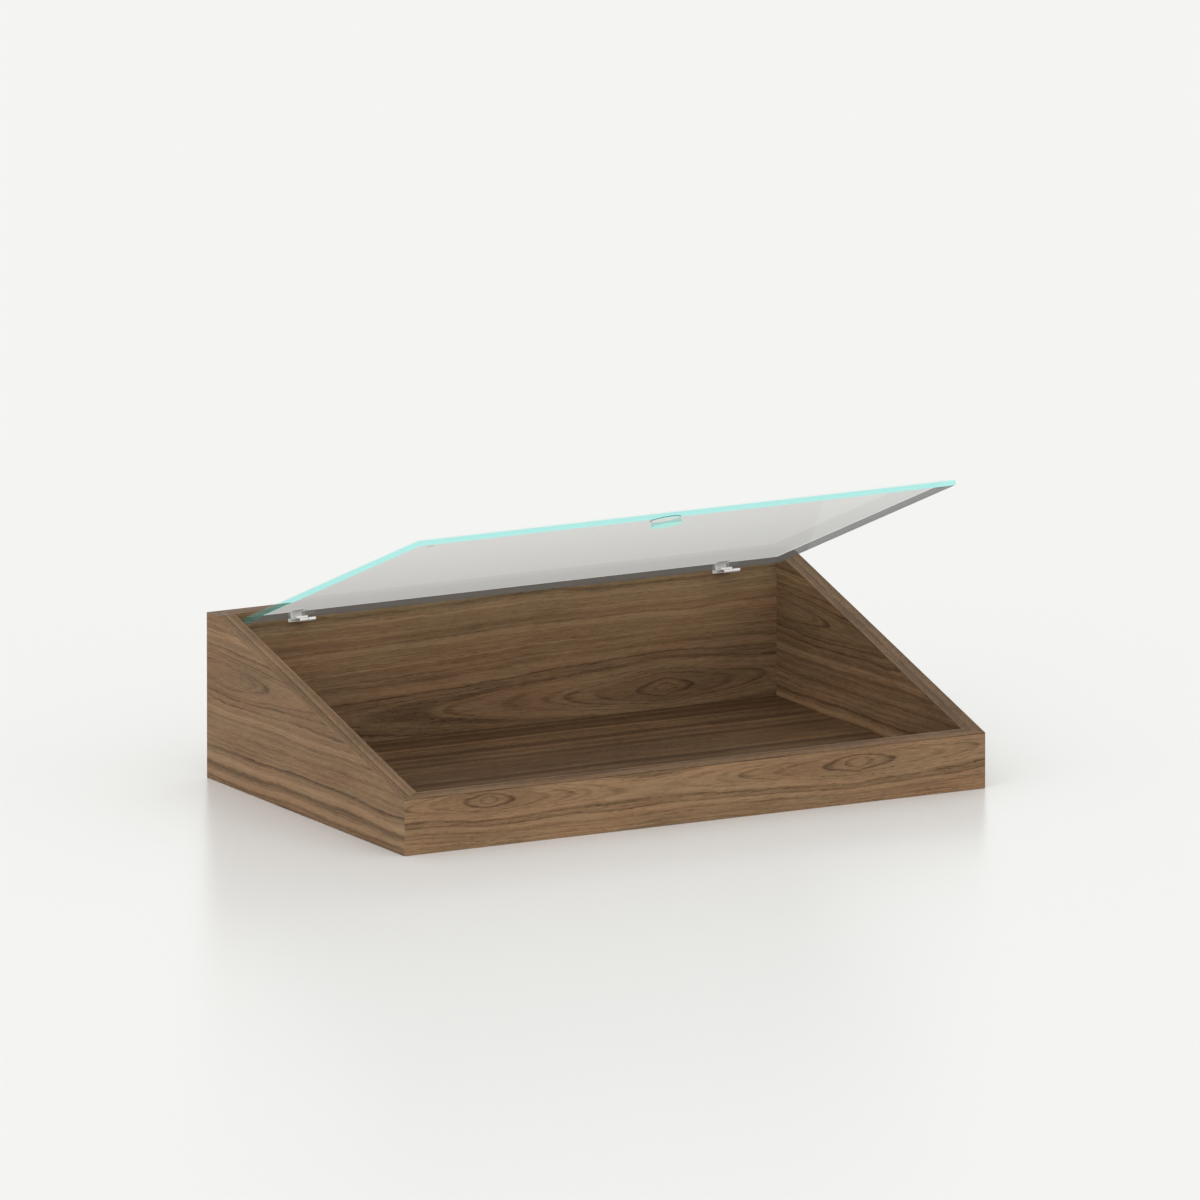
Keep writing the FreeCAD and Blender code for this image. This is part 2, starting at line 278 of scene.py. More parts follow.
print("walnut group takes", ", ".join(socket.name for socket in given if socket.name))

# %% [markdown]
# ## Grain that wavers
#
# Grain is never quite straight. A slow, a middle and a quick noise, each pulled long in the
# direction of the grain, shift every point across it, so that all lines drawn later bend with
# them. Each noise is given by the length and width of its grains, its detail, its seed and how
# far it sways.

# %% Bent grain
SWAYS = ((190, 55, 1, 4.1, 1.3), (45, 16, 2, 7.7, 0.42), (9, 4, 2, 9.3, 0.20))


def grain_noise(tree, place, long, wide, detail, seed):
    """Noise with grains about 'long' by 'wide' millimetres."""
    scaled = add_node(tree, "ShaderNodeVectorMath", {0: place}, operation="MULTIPLY_ADD")
    scaled.inputs[1].default_value = (1 / long, 1 / wide, 1 / wide)
    scaled.inputs[2].default_value = (seed, seed * 1.7, seed * 0.6)
    made = add_node(tree, "ShaderNodeTexNoise", {"Vector": scaled.outputs[0], "Scale": 1.0,
                                                 "Detail": detail, "Roughness": 0.55})
    return made.outputs["Fac"]


in_mm = add_node(veneer, "ShaderNodeVectorMath", {0: given["Place"]}, operation="SCALE")
in_mm.inputs["Scale"].default_value = MM
place = in_mm.outputs[0]
parts = add_node(veneer, "ShaderNodeSeparateXYZ", {0: place}).outputs
bend = 0.0
for long, wide, detail, seed, size in SWAYS:
    sway = centred(veneer, grain_noise(veneer, place, long, wide, detail, seed), size)
    bend = calc(veneer, "ADD", bend, sway)
across = calc(veneer, "MULTIPLY_ADD", bend, given["Waver"], parts["Y"])
print("grain bent by", len(SWAYS), "noises")

# %% [markdown]
# ## Nested ovals
#
# A cut that just misses the pith lays the rings open as ovals round an eye. Each point gets its
# distance from that pith: from its depth under the cut, the way across, and the way along, which
# counts less and less so that the ovals get long tips. Two eyes can share a board, and a smooth
# minimum lets their ovals flow together.

# %% Distance from the pith
PITH_DEPTH = 12
BLUNT_TIP = 20.0
TAPER = 0.45
SECOND_SPREAD = 2.8
FLOW_TOGETHER = 4.0


def oval_distance(tree, along, across, eye, spread):
    """Distance from the pith under an eye; along the grain it grows ever more slowly."""
    middle = add_node(tree, "ShaderNodeSeparateXYZ", {0: eye}).outputs
    long_way = calc(tree, "SUBTRACT", along, middle["X"])
    long_way = calc(tree, "MULTIPLY_ADD", long_way, long_way, BLUNT_TIP)
    long_way = calc(tree, "MULTIPLY", calc(tree, "POWER", long_way, TAPER), spread)
    cross_way = calc(tree, "SUBTRACT", across, middle["Y"])
    square = calc(tree, "MULTIPLY_ADD", cross_way, cross_way, long_way)
    return calc(tree, "SQRT", calc(tree, "ADD", square, PITH_DEPTH ** 2))


first = oval_distance(veneer, parts["X"], across, given["Eye"], given["Spread"])
second = oval_distance(veneer, parts["X"], across, given["Second Eye"], SECOND_SPREAD)
nearest = calc(veneer, "SMOOTH_MIN", first, second, FLOW_TOGETHER)
distance = calc(veneer, "SUBTRACT", nearest, PITH_DEPTH)
ring = calc(veneer, "DIVIDE", distance, given["Ring Pitch"])
print("ovals done,", len(veneer.nodes), "nodes so far")

# %% [markdown]
# ## Growth rings
#
# A ring starts pale, darkens slowly through its summer and ends sharply. No two are alike: an
# uneven pitch makes them wide or narrow, and a random number for each, here called luck, makes
# a few of the lines dark and most of them faint. Lines also break up along the grain. Near an
# eye the wood is calmer, with softer and more even lines, and a shade darker in its middle.

# %% Rings
# Zones round an eye, counted in rings, and what happens in the middle of each.
CALM_ZONE = (1.0, 13.0)
SOFT_ZONE = (0.3, 4.0)
SHADED_ZONE = (0.5, 9.0)
EYE_DOT = (0.05, 0.22)
CALMED_TO = 0.22
SOFTENED_TO = 0.68
SHADED_BY = 0.04
DOT_SHADED_BY = 0.07
# Stretches of one ring, which starts at 0 and ends at 1.
DARKENING = (0.30, 0.85)
ENDING = (0.85, 1.0)
UNEVEN_PITCH = 3.0


def ring_noise(tree, ring, scale, detail):
    """Noise that changes only across the rings."""
    made = add_node(tree, "ShaderNodeTexNoise", {"W": ring, "Scale": scale, "Detail": detail},
                    noise_dimensions="1D")
    return made.outputs["Fac"]


lively = band(veneer, ring, *CALM_ZONE, CALMED_TO, 1.0)
firm = band(veneer, ring, *SOFT_ZONE, SOFTENED_TO, 1.0)
eye_shade = calc(veneer, "ADD", band(veneer, ring, *EYE_DOT, DOT_SHADED_BY, 0.0),
                 band(veneer, ring, *SHADED_ZONE, SHADED_BY, 0.0))
ring = calc(veneer, "ADD", ring, given["Seed"])
ring = calc(veneer, "MULTIPLY_ADD", ring_noise(veneer, ring, 0.55, 1.0), UNEVEN_PITCH, ring)
season = calc(veneer, "FRACT", ring)
luck = add_node(veneer, "ShaderNodeTexWhiteNoise", {"W": calc(veneer, "FLOOR", ring)},
                noise_dimensions="1D").outputs["Value"]
least = calc(veneer, "MULTIPLY_ADD", lively, -0.28, 0.46)
luck = calc(veneer, "MULTIPLY_ADD", calc(veneer, "MULTIPLY", luck, luck), 0.80, least)
late = calc(veneer, "MULTIPLY", band(veneer, season, *DARKENING),
            band(veneer, season, *ENDING, 1.0, 0.0))
broken = band(veneer, grain_noise(veneer, place, 55, 6, 2, 5.5), 0.30, 0.62, 0.45, 1.0)
line = calc(veneer, "MULTIPLY", calc(veneer, "MULTIPLY", late, luck), firm)
line = calc(veneer, "MULTIPLY", line, broken)
broad = centred(veneer, ring_noise(veneer, ring, 0.33, 3.0), 0.62)
broad = calc(veneer, "MULTIPLY", broad, lively)
print("rings done,", len(veneer.nodes), "nodes so far")

# %% [markdown]
# ## Fibres and pores
#
# Between the rings lie slow clouds of colour, long fibres and fine hairs. Walnut's pores are
# short dark strokes, a few millimetres long, and they crowd where a ring ends. All of them are
# the same noise, pulled to other lengths.

# %% Fibres and pores
cloud = centred(veneer, grain_noise(veneer, place, 150, 40, 3, 2.2), 0.30)
fibre = centred(veneer, grain_noise(veneer, place, 48, 1.9, 2, 6.4), 0.24)
hair = centred(veneer, grain_noise(veneer, place, 10, 0.8, 2, 3.9), 0.34)
pores = band(veneer, grain_noise(veneer, place, 5, 0.8, 1, 8.8), 0.58, 0.70)
pores = calc(veneer, "MULTIPLY", pores, calc(veneer, "MULTIPLY_ADD", line, 0.8, 0.35))
print("fibres and pores done,", len(veneer.nodes), "nodes so far")

# %% [markdown]
# ## From figure to colour
#
# The light and dark of the figure are added up, scaled by the contrast and set round the board's
# own tone. A slope can make that tone lighter with height, which is painted shade low on a wall.
# A ramp of five walnut browns gives the colour, and a slow noise turns it a little to green or
# red, as in real veneer. Fibres also vary the sheen, and hairs and pores give a relief that is
# too fine to model.

# %% Colour, sheen and relief
BOARD_MIDDLE = 75.0
LINE_DARKNESS = 0.62
PORE_DARKNESS = 0.45
ROUGHNESS = 0.48
ROUGHNESS_SWING = 0.25
BROWNS = [(0.0, (0.066, 0.036, 0.018)), (0.25, (0.131, 0.077, 0.040)),
          (0.50, (0.229, 0.138, 0.074)), (0.75, (0.318, 0.201, 0.113)),
          (1.0, (0.410, 0.280, 0.170))]
HUES = [(0.0, (0.975, 1.00, 0.985)), (1.0, (1.025, 0.985, 0.970))]
figure = calc(veneer, "ADD", calc(veneer, "ADD", broad, cloud), calc(veneer, "ADD", fibre, hair))
darker = calc(veneer, "MULTIPLY_ADD", line, LINE_DARKNESS, eye_shade)
figure = calc(veneer, "SUBTRACT", figure, darker)
figure = calc(veneer, "SUBTRACT", figure, calc(veneer, "MULTIPLY", pores, PORE_DARKNESS))
# Painted shade: the tone grows with height above the board's middle, so a wall is darker low down.
above = calc(veneer, "SUBTRACT", parts["Y"], BOARD_MIDDLE)
tone = calc(veneer, "MULTIPLY_ADD", above, given["Fade"], given["Tone"])
brown = ramp(veneer, calc(veneer, "MULTIPLY_ADD", figure, given["Contrast"], tone), BROWNS)
hue = ramp(veneer, band(veneer, grain_noise(veneer, place, 90, 18, 2, 1.3), 0.35, 0.65), HUES)
veneer.links.new(blend_colours(veneer, 1.0, brown, hue, "MULTIPLY"), put_out["Color"])
sheen = calc(veneer, "MULTIPLY_ADD", fibre, ROUGHNESS_SWING, ROUGHNESS)
veneer.links.new(sheen, put_out["Roughness"])
veneer.links.new(calc(veneer, "SUBTRACT", hair, pores), put_out["Height"])
print("walnut group with", len(veneer.nodes), "nodes")

# %% [markdown]
# ## A walnut material for a board
#
# The veneer is laid lengthwise on each board, so the grain turns at every corner. A material
# takes the point's place on the object, puts the direction of the grain first and the direction
# across it second, and hands it to the group. The satin lacquer has only a faint gloss.

# %% Walnut material
LACQUER_GLOSS = 0.12
RELIEF = 0.3
RELIEF_DEPTH = 0.0001


def walnut(name, grain, wide, eye, spread, tone, contrast, seed, pitch=1.7, waver=5.0,
           second=NO_EYE, painted_shade_slope=0.0):
    """Walnut whose grain runs along one axis; an eye is the middle of its ovals, in mm."""
    material, tree, shader = new_material(name)
    point = add_node(tree, "ShaderNodeTexCoord").outputs["Object"]
    axes = add_node(tree, "ShaderNodeSeparateXYZ", {0: point}).outputs
    deep = ({"X", "Y", "Z"} - {grain, wide}).pop()
    laid = add_node(tree, "ShaderNodeCombineXYZ", {0: axes[grain], 1: axes[wide], 2: axes[deep]})
    wood = add_node(tree, "ShaderNodeGroup", {
        "Place": laid.outputs[0], "Eye": (*eye, 0), "Spread": spread,
        "Second Eye": (*second, 0), "Ring Pitch": pitch, "Waver": waver, "Tone": tone,
        "Contrast": contrast, "Fade": painted_shade_slope, "Seed": seed}, node_tree=veneer)
    tree.links.new(wood.outputs["Color"], shader.inputs["Base Color"])
    tree.links.new(wood.outputs["Roughness"], shader.inputs["Roughness"])
    bump = add_node(tree, "ShaderNodeBump", {"Height": wood.outputs["Height"],
                                             "Strength": RELIEF, "Distance": RELIEF_DEPTH})
    tree.links.new(bump.outputs[0], shader.inputs["Normal"])
    shader.inputs["Specular IOR Level"].default_value = LACQUER_GLOSS
    return material


def dress(material, *names):
    """Gives every material slot of the named nodes this material."""
    for name in names:
        mesh = nodes[name].data
        if not mesh.materials:
            mesh.materials.append(material)
        for number in range(len(mesh.materials)):
            mesh.materials[number] = material
    print(material.name, "on", ", ".join(names))


print("walnut material ready")

# %% [markdown]
# ## Walnut on the walls
#
# The front wall shows two small groups of ovals, the rear wall one wide group of them, low down
# towards the right corner. The side walls are cut from one sheet and share their figure; the
# right one gets a darker tone, painted shade inside the case. Each eye is given in millimetres
# along the board and above the counter. Tone and contrast differ from wall to wall, and the rear
# wall's tone grows lighter towards its top, which is painted shade low in the case.

# %% Walls
FRONT_RIGHT_EYE = (169, 39)
FRONT_LEFT_EYE = (-213, 41)
REAR_EYE = (165, 42)
SIDE_EYE = (151.5, 103)
dress(walnut("walnut_front", "X", "Z", FRONT_RIGHT_EYE, 2.05, second=FRONT_LEFT_EYE, tone=0.56,
             contrast=0.72, seed=41.0), "front_panel")
# Painted shade: the rear wall's tone slopes, darker low down and lighter at the top.
dress(walnut("walnut_rear", "X", "Z", REAR_EYE, 4.0, pitch=2.6, tone=0.455, contrast=0.60,
             painted_shade_slope=0.0017, seed=41.0), "rear_panel")
# Painted shade: the right wall's darker tone.
for side, tone, contrast in (("left", 0.52, 0.62), ("right", 0.395, 0.66)):
    dress(walnut("walnut_" + side, "Y", "Z", SIDE_EYE, 2.4, pitch=2.5, tone=tone,
                 contrast=contrast, seed=12.0), side + "_side_panel")

# %% [markdown]
# ## Straight-grained walnut
#
# The floor of the display space and the edge bands on the rims have straight lines only. Their
# eye lies far outside the board and its ovals hardly curve, so what is left of them are lines.
# The floor is of darker wood, and its tone is lowered further as painted shade deep in the case.
# The bands run along their own walls.

# %% Floor panel and edge bands
FAR_EYE = (0, -700)
NO_CURVE = 0.02
# Part of the floor's dark tone is painted shade deep in the case.
dress(walnut("walnut_floor", "X", "Y", FAR_EYE, NO_CURVE, pitch=4.5, waver=3.0, tone=0.20,
             contrast=0.88, seed=17.0), "floor_panel")
for wall, grain, wide, tone, seed in (("left_side", "Y", "X", 0.40, 5.0),
                                      ("right_side", "Y", "X", 0.32, 6.0),
                                      ("front", "X", "Y", 0.35, 8.0),
                                      ("rear", "X", "Y", 0.40, 9.0)):
    dress(walnut(wall + "_edging", grain, wide, FAR_EYE, NO_CURVE, pitch=1.6, waver=2.0,
                 tone=tone, contrast=0.75, seed=seed), wall + "_edge_band")

# %% [markdown]
# ## Streaks: one effect for metal, beech and plastic
#
# Rolled and brushed metal, pressed wood and drawn plastic all have fine streaks in one
# direction. A noise pulled long gives them. The group puts out a colour between two given ones,
# a roughness that swings with the streaks, and a height for the finest relief. Stretch says how
# many streaks there are in a millimetre along each axis.

# %% Streaks group
streaks = bpy.data.node_groups.new("streaks", "ShaderNodeTree")
given, put_out = group_sockets(
    streaks,
    [("Place", "NodeSocketVector", (0, 0, 0)), ("Stretch", "NodeSocketVector", (1, 1, 1)),
     ("Light", "NodeSocketColor", (0.8, 0.8, 0.8, 1)),
     ("Dark", "NodeSocketColor", (0.6, 0.6, 0.6, 1)),
     ("Rough", "NodeSocketFloat", 0.3), ("Rough Swing", "NodeSocketFloat", 0.1)],
    [("Color", "NodeSocketColor"), ("Roughness", "NodeSocketFloat"),
     ("Height", "NodeSocketFloat")])
in_mm = add_node(streaks, "ShaderNodeVectorMath", {0: given["Place"]}, operation="SCALE")
in_mm.inputs["Scale"].default_value = MM
pulled = add_node(streaks, "ShaderNodeVectorMath", {0: in_mm.outputs[0], 1: given["Stretch"]},
                  operation="MULTIPLY")
fine = add_node(streaks, "ShaderNodeTexNoise", {"Vector": pulled.outputs[0], "Scale": 1.0,
                                                "Detail": 3.0}).outputs["Fac"]
patchy = add_node(streaks, "ShaderNodeTexNoise", {"Vector": in_mm.outputs[0], "Scale": 0.25,
                                                  "Detail": 2.0}).outputs["Fac"]
mixed = calc(streaks, "MULTIPLY_ADD", patchy, 0.5, calc(streaks, "MULTIPLY", fine, 0.5))
paler = band(streaks, mixed, 0.35, 0.65)
streaks.links.new(blend_colours(streaks, paler, given["Dark"], given["Light"]), put_out["Color"])
swing = centred(streaks, fine, 1.0)
streaks.links.new(calc(streaks, "MULTIPLY_ADD", swing, given["Rough Swing"], given["Rough"]),
                  put_out["Roughness"])
streaks.links.new(fine, put_out["Height"])
print("streaks group with", len(streaks.nodes), "nodes")

# %% [markdown]
# ## A streaked material
#
# Each of these materials takes the group with its own two colours, stretch and roughness. The
# group puts out a colour, a roughness and a height. So the Principled shader, how metallic it is
# and the strength of the relief are set outside it, for each material.

# %% Streaked material
STREAK_DEPTH = 0.00005


def streaked(name, light, dark, stretch, rough, swing, metallic=0.0, relief=0.1):
    """A material whose colour and roughness come from the streaks group."""
    material, tree, shader = new_material(name)
    look = add_node(tree, "ShaderNodeGroup", {
        "Place": add_node(tree, "ShaderNodeTexCoord").outputs["Object"], "Stretch": stretch,
        "Light": (*light, 1), "Dark": (*dark, 1), "Rough": rough, "Rough Swing": swing},
        node_tree=streaks)
    tree.links.new(look.outputs["Color"], shader.inputs["Base Color"])
    tree.links.new(look.outputs["Roughness"], shader.inputs["Roughness"])
    bump = add_node(tree, "ShaderNodeBump", {"Height": look.outputs["Height"],
                                             "Strength": relief, "Distance": STREAK_DEPTH})
    tree.links.new(bump.outputs[0], shader.inputs["Normal"])
    shader.inputs["Metallic"].default_value = metallic
    return material


print("streaked material ready")

# %% [markdown]
# ## Metal
#
# The clamps and brackets are satin nickel, brushed across, pale enough to look light grey even
# where they face the dark wood, so they are only partly metallic here. The pins are polished,
# and the screws are zinc-plated with a patchy coat.

# %% Metal
satin = streaked("satin_nickel", (0.92, 0.91, 0.90), (0.84, 0.83, 0.82), (0.15, 5, 5), 0.42, 0.10,
                 metallic=0.35)
dress(satin, "left_hinge_bracket", "right_hinge_bracket", "left_clamp", "right_clamp")
bright = streaked("bright_steel", (0.92, 0.92, 0.91), (0.84, 0.84, 0.83), (0.1, 3, 3), 0.16, 0.06,
                  metallic=1.0, relief=0.05)
dress(bright, "left_hinge_pin", "right_hinge_pin")
zinc = streaked("zinc_steel", (0.72, 0.73, 0.75), (0.50, 0.51, 0.53), (1.5, 1.5, 1.5), 0.32, 0.12,
                metallic=1.0)
dress(zinc, "left_bracket_screws", "right_bracket_screws", "left_grub_screws", "right_grub_screws")

# %% [markdown]
# ## Beech and plastic
#
# The biscuits in the mitres are raw pressed beech with upright fibres and a rough face. The
# liner that keeps a clamp off the glass is thin drawn plastic, pale and half matt.

# %% Beech and plastic
beech = streaked("beech", (0.66, 0.47, 0.30), (0.52, 0.34, 0.19), (2.5, 2.5, 0.12), 0.70, 0.10,
                 relief=0.6)
dress(beech, "rear_left_biscuits", "rear_right_biscuits", "front_left_biscuit",
      "front_right_biscuit")
liner = streaked("clear_liner", (0.90, 0.89, 0.88), (0.82, 0.81, 0.80), (0.1, 2, 2), 0.40, 0.08)
dress(liner, "left_clamp_liner", "right_clamp_liner")

# %% [markdown]
# ## Where the lid lies
#
# The lid is made lying flat, with the middle of its rear edge at the origin and its lower face
# at height zero, because every size is plain to see there. It is then carried to the hinge and
# turned about the pins to its open place. The turn goes into the mesh, so the object itself
# stays unturned.

# %% The lid's sizes and its open place
LID_WIDTH = 0.555
LID_LENGTH = 0.36184
GLASS = 0.006
HOLE_RADIUS = 0.014
HOLE_INSET = 0.045
LID_TILT = radians(22.04)
PIVOT = Vector((0, 0.150200, 0.146345))
LID_ON_PIVOT = Vector((0, 0.009, 0.0031))
LID_TURN = Matrix.Rotation(-LID_TILT, 4, "X")
LID_OPEN = Matrix.Translation(PIVOT) @ LID_TURN @ Matrix.Translation(LID_ON_PIVOT)
print("the lid's rear edge is at", tuple(round(c, 5) for c in LID_OPEN.translation))

# %% [markdown]
# ## Measuring and rounding
#
# Both the sheet and the bumpers need a few of their edges rounded, and these are found by where
# their two ends lie. The edges are marked in object mode, because edit mode works on a copy of
# the mesh that is made when it starts, and the bevel then works in edit mode. A second helper
# reads off how far a mesh reaches.

# %% Measuring and rounding


def span(piece):
    """The lowest and the highest corner of a mesh."""
    corners = [vertex.co for vertex in piece.data.vertices]
    return [[round(pick(corner[i] for corner in corners), 5) for i in range(3)]
            for pick in (min, max)]


def bevel_edges(piece, is_wanted, offset, segments):
    """Rounds the edges whose two ends pass a test."""
    bpy.ops.object.mode_set(mode="EDIT")
    bpy.ops.mesh.select_all(action="DESELECT")
    bpy.ops.object.mode_set(mode="OBJECT")
    for edge in piece.data.edges:
        ends = [piece.data.vertices[number].co for number in edge.vertices]
        edge.select = is_wanted(*ends)
    bpy.ops.object.mode_set(mode="EDIT")
    bpy.ops.mesh.select_mode(type="EDGE")
    bpy.ops.mesh.bevel(offset=offset, segments=segments, profile=0.5)
    bpy.ops.object.mode_set(mode="OBJECT")


print("helpers for measuring and rounding ready")

# %% [markdown]
# ## The glass sheet
#
# A 6 mm sheet of float glass is cut to size and its four upright corners are eased, so that
# they aren't sharp. Here a block of that size gets a small bevel on the four edges that stand
# upright, picked by their height.

# %% Glass sheet
CORNER = 0.002
CORNER_STEPS = 6


def stands_upright(first, second):
    """An edge that goes from face to face of the sheet."""
    return abs(first.z - second.z) > GLASS / 2


bpy.ops.object.select_all(action="DESELECT")
bpy.ops.mesh.primitive_cube_add(size=1, location=(0, -LID_LENGTH / 2, GLASS / 2),
                                scale=(LID_WIDTH, LID_LENGTH, GLASS))
lid = bpy.context.object
lid.name = "glass_sheet"
bpy.ops.object.transform_apply(location=True, rotation=True, scale=True)
bevel_edges(lid, stands_upright, CORNER, CORNER_STEPS)
print("sheet", span(lid))

# %% [markdown]
# ## Finger hole and arrises
#
# The finger hole is drilled near the front edge, and all edges are ground to a narrow slanted
# arris before they are polished. A boolean cut with a round rod drills the hole, and a bevel
# that looks only for sharp angles lays the arris along every edge, also round the hole.

# %% Finger hole and arrises
ARRIS = 0.0006
SHARP = radians(60)
HOLE_SIDES = 96
hole_middle = Vector((0, HOLE_INSET - LID_LENGTH, GLASS / 2))
bpy.ops.object.select_all(action="DESELECT")
bpy.ops.mesh.primitive_cylinder_add(vertices=HOLE_SIDES, radius=HOLE_RADIUS, depth=GLASS * 3,
                                    location=hole_middle)
drill = bpy.context.object
bpy.context.view_layer.objects.active = lid
hole = lid.modifiers.new("finger_hole", "BOOLEAN")
hole.operation = "DIFFERENCE"
hole.solver = "EXACT"
hole.object = drill
arris = lid.modifiers.new("arris", "BEVEL")
arris.width = ARRIS
arris.segments = 1
arris.limit_method = "ANGLE"
arris.angle_limit = SHARP
bpy.ops.object.select_all(action="DESELECT")
lid.select_set(True)
for modifier in list(lid.modifiers):
    bpy.ops.object.modifier_apply(modifier=modifier.name)
bpy.data.objects.remove(drill)
print("drilled sheet with", len(lid.data.polygons), "faces")

# %% [markdown]
# ## How the glass looks
#
# Seen along its face, as here, a sheet of glass turns milky grey and hides what lies behind,
# while its polished edges gather light and shine blue-green. Real bent rays would need many
# bounces for that and stay noisy. So the glass lets light pass straight on, and each part of the
# sheet has one tint from outside and one from within, told apart with Backfacing. Light from
# lamps passes through, so that the glass throws no black shadow.

# %% Start and end of a glass material
CLEAR = (1.0, 0.99, 0.98, 1)
LAMPLIGHT = (0.92, 0.94, 0.93, 1)


def start_glass(name, coat=0.0):
    """Glass that bends no light, with two masks to tint it by: the face's side, the place."""
    material, tree, shader = new_material(name)
    shader.inputs["Transmission Weight"].default_value = 1.0
    shader.inputs["Roughness"].default_value = 0.0
    shader.inputs["IOR"].default_value = 1.0
    shader.inputs["Coat Weight"].default_value = coat
    shader.inputs["Coat Roughness"].default_value = 0.0
    behind = add_node(tree, "ShaderNodeNewGeometry").outputs["Backfacing"]
    point = add_node(tree, "ShaderNodeTexCoord").outputs["Object"]
    laid = add_node(tree, "ShaderNodeMapping", {"Vector": point}, vector_type="TEXTURE")
    laid.inputs["Location"].default_value = LID_OPEN.translation
    laid.inputs["Rotation"].default_value = (-LID_TILT, 0, 0)
    on_lid = add_node(tree, "ShaderNodeSeparateXYZ", {0: laid.outputs[0]}).outputs
    return material, tree, shader, behind, on_lid


def let_lamps_through(tree, surface):
    """Ends a material so that the piece throws almost no shadow."""
    lamp = add_node(tree, "ShaderNodeLightPath").outputs["Is Shadow Ray"]
    clear = add_node(tree, "ShaderNodeBsdfTransparent", {"Color": LAMPLIGHT})
    lit = add_node(tree, "ShaderNodeMixShader", {0: lamp, 1: surface, 2: clear.outputs[0]})
    tree.links.new(lit.outputs[0], tree.nodes["Material Output"].inputs["Surface"])


print("glass without bent light ready")

# %% [markdown]
# ## The faces of the sheet
#
# The faces carry a milky veil that grows with the slant of the view. It is strong only where a
# face is seen from within, so that each line of sight meets it once. The film that makes it is
# wiped off along the front and left edges. Its colour darkens towards the rear, a painted shade,
# and two thin white lines along the rear and right edges are painted highlights. From outside, a
# strip along the rear and right edges is darker, a painted reflection of those dark edges.

# %% Faces
# How slanted the view is, from no veil to all of it.
SLANTED = (0.55, 0.87)
# Places on the lying lid, in metres from the middle of its rear edge: the strips of painted
# reflection, the wiped film, the lines of painted highlight and the film's painted shade.
REAR_REFLECTION_STRIP = (-0.128, -0.121)
RIGHT_REFLECTION_STRIP = (0.205, 0.212)
LEFT_WIPED = (-0.2580, -0.2550)
FRONT_WIPED = (-0.3245, -0.3205)
REAR_HIGHLIGHT_LINE = (-0.0045, -0.0035)
RIGHT_HIGHLIGHT_LINE = (0.2725, 0.2740)
FILM_SHADE_RANGE = (-0.385, 0.035)
# The film's colours from front to rear; the darker rear is painted shade.
FILM_SHADED_TO_REAR = [(0.0, (0.90, 0.89, 0.88)), (1.0, (0.72, 0.71, 0.70))]
REFLECTION_DARKENING = 0.18
VEIL_OUTSIDE = 0.12
VEIL_INSIDE = 0.92


def film_and_painted_light_colour(tree, on_lid):
    """The colour of the veil: painted shade darker to the rear, thin painted highlights on two
    edges.
    """
    shaded_film = ramp(tree, band(tree, on_lid["Y"], *FILM_SHADE_RANGE), FILM_SHADED_TO_REAR)
    highlight_lines = calc(tree, "MAXIMUM", band(tree, on_lid["Y"], *REAR_HIGHLIGHT_LINE),
               band(tree, on_lid["X"], *RIGHT_HIGHLIGHT_LINE))
    return blend_colours(tree, highlight_lines, shaded_film, (1.0, 1.0, 1.0, 1))


def face_glass(name, outside, inside):
    """The glass of the two faces, with their veil."""
    material, tree, shader, behind, on_lid = start_glass(name, coat=0.10)
    slant = add_node(tree, "ShaderNodeLayerWeight", {"Blend": 0.5}).outputs["Facing"]
    slanted = band(tree, slant, *SLANTED)
    # Painted reflection: from outside, the tint is dimmer along the rear and right edges.
    edge_reflection = calc(tree, "MAXIMUM", band(tree, on_lid["Y"], *REAR_REFLECTION_STRIP),
                  band(tree, on_lid["X"], *RIGHT_REFLECTION_STRIP))
    edge_reflection = calc(tree, "MULTIPLY", edge_reflection, slanted)
    bright = calc(tree, "MULTIPLY_ADD", edge_reflection, -REFLECTION_DARKENING, 1.0)
    seen_out = blend_colours(tree, bright, (0, 0, 0, 1), (*outside, 1))
    tree.links.new(blend_colours(tree, behind, seen_out, (*inside, 1)), shader.inputs["Base Color"])
    filmed = calc(tree, "MULTIPLY", band(tree, on_lid["X"], *LEFT_WIPED),
                  band(tree, on_lid["Y"], *FRONT_WIPED))
    within = calc(tree, "MULTIPLY", behind, filmed)
    share = calc(tree, "MULTIPLY_ADD", within, VEIL_INSIDE - VEIL_OUTSIDE, VEIL_OUTSIDE)
    share = calc(tree, "MULTIPLY", slanted, share)
    veil = add_node(tree, "ShaderNodeBsdfTranslucent", {"Color": film_and_painted_light_colour(tree, on_lid)})
    veiled = add_node(tree, "ShaderNodeMixShader",
                      {0: share, 1: shader.outputs[0], 2: veil.outputs[0]})
    let_lamps_through(tree, veiled.outputs[0])
    return material


lid.data.materials.append(face_glass("float_glass", (0.56, 0.555, 0.55), (0.98, 0.98, 0.97)))
print(lid.data.materials[0].name, "ready")

# %% [markdown]
# ## The edges of the sheet
#
# The near edges shine blue-green and scatter a little light of their own colour. The far ones,
# seen through the sheet, get a dark tint, the rear one a shade lighter: painted shade. They are
# clear where a clamp grips them. In a slanting wedge beside the front and left edges they are
# clear too, which paints the light that those edges pass on. The upper arrises get a paler
# tint, a painted highlight.

# %% Edges
REAR_EDGE = (-0.010, -0.008)
FRONT_LIGHT_WEDGE = -0.145
LEFT_LIGHT_WEDGE = -0.272
WEDGE_LIMIT = (-0.0001, 0.0002)
CLAMP_BLUR = 0.0004


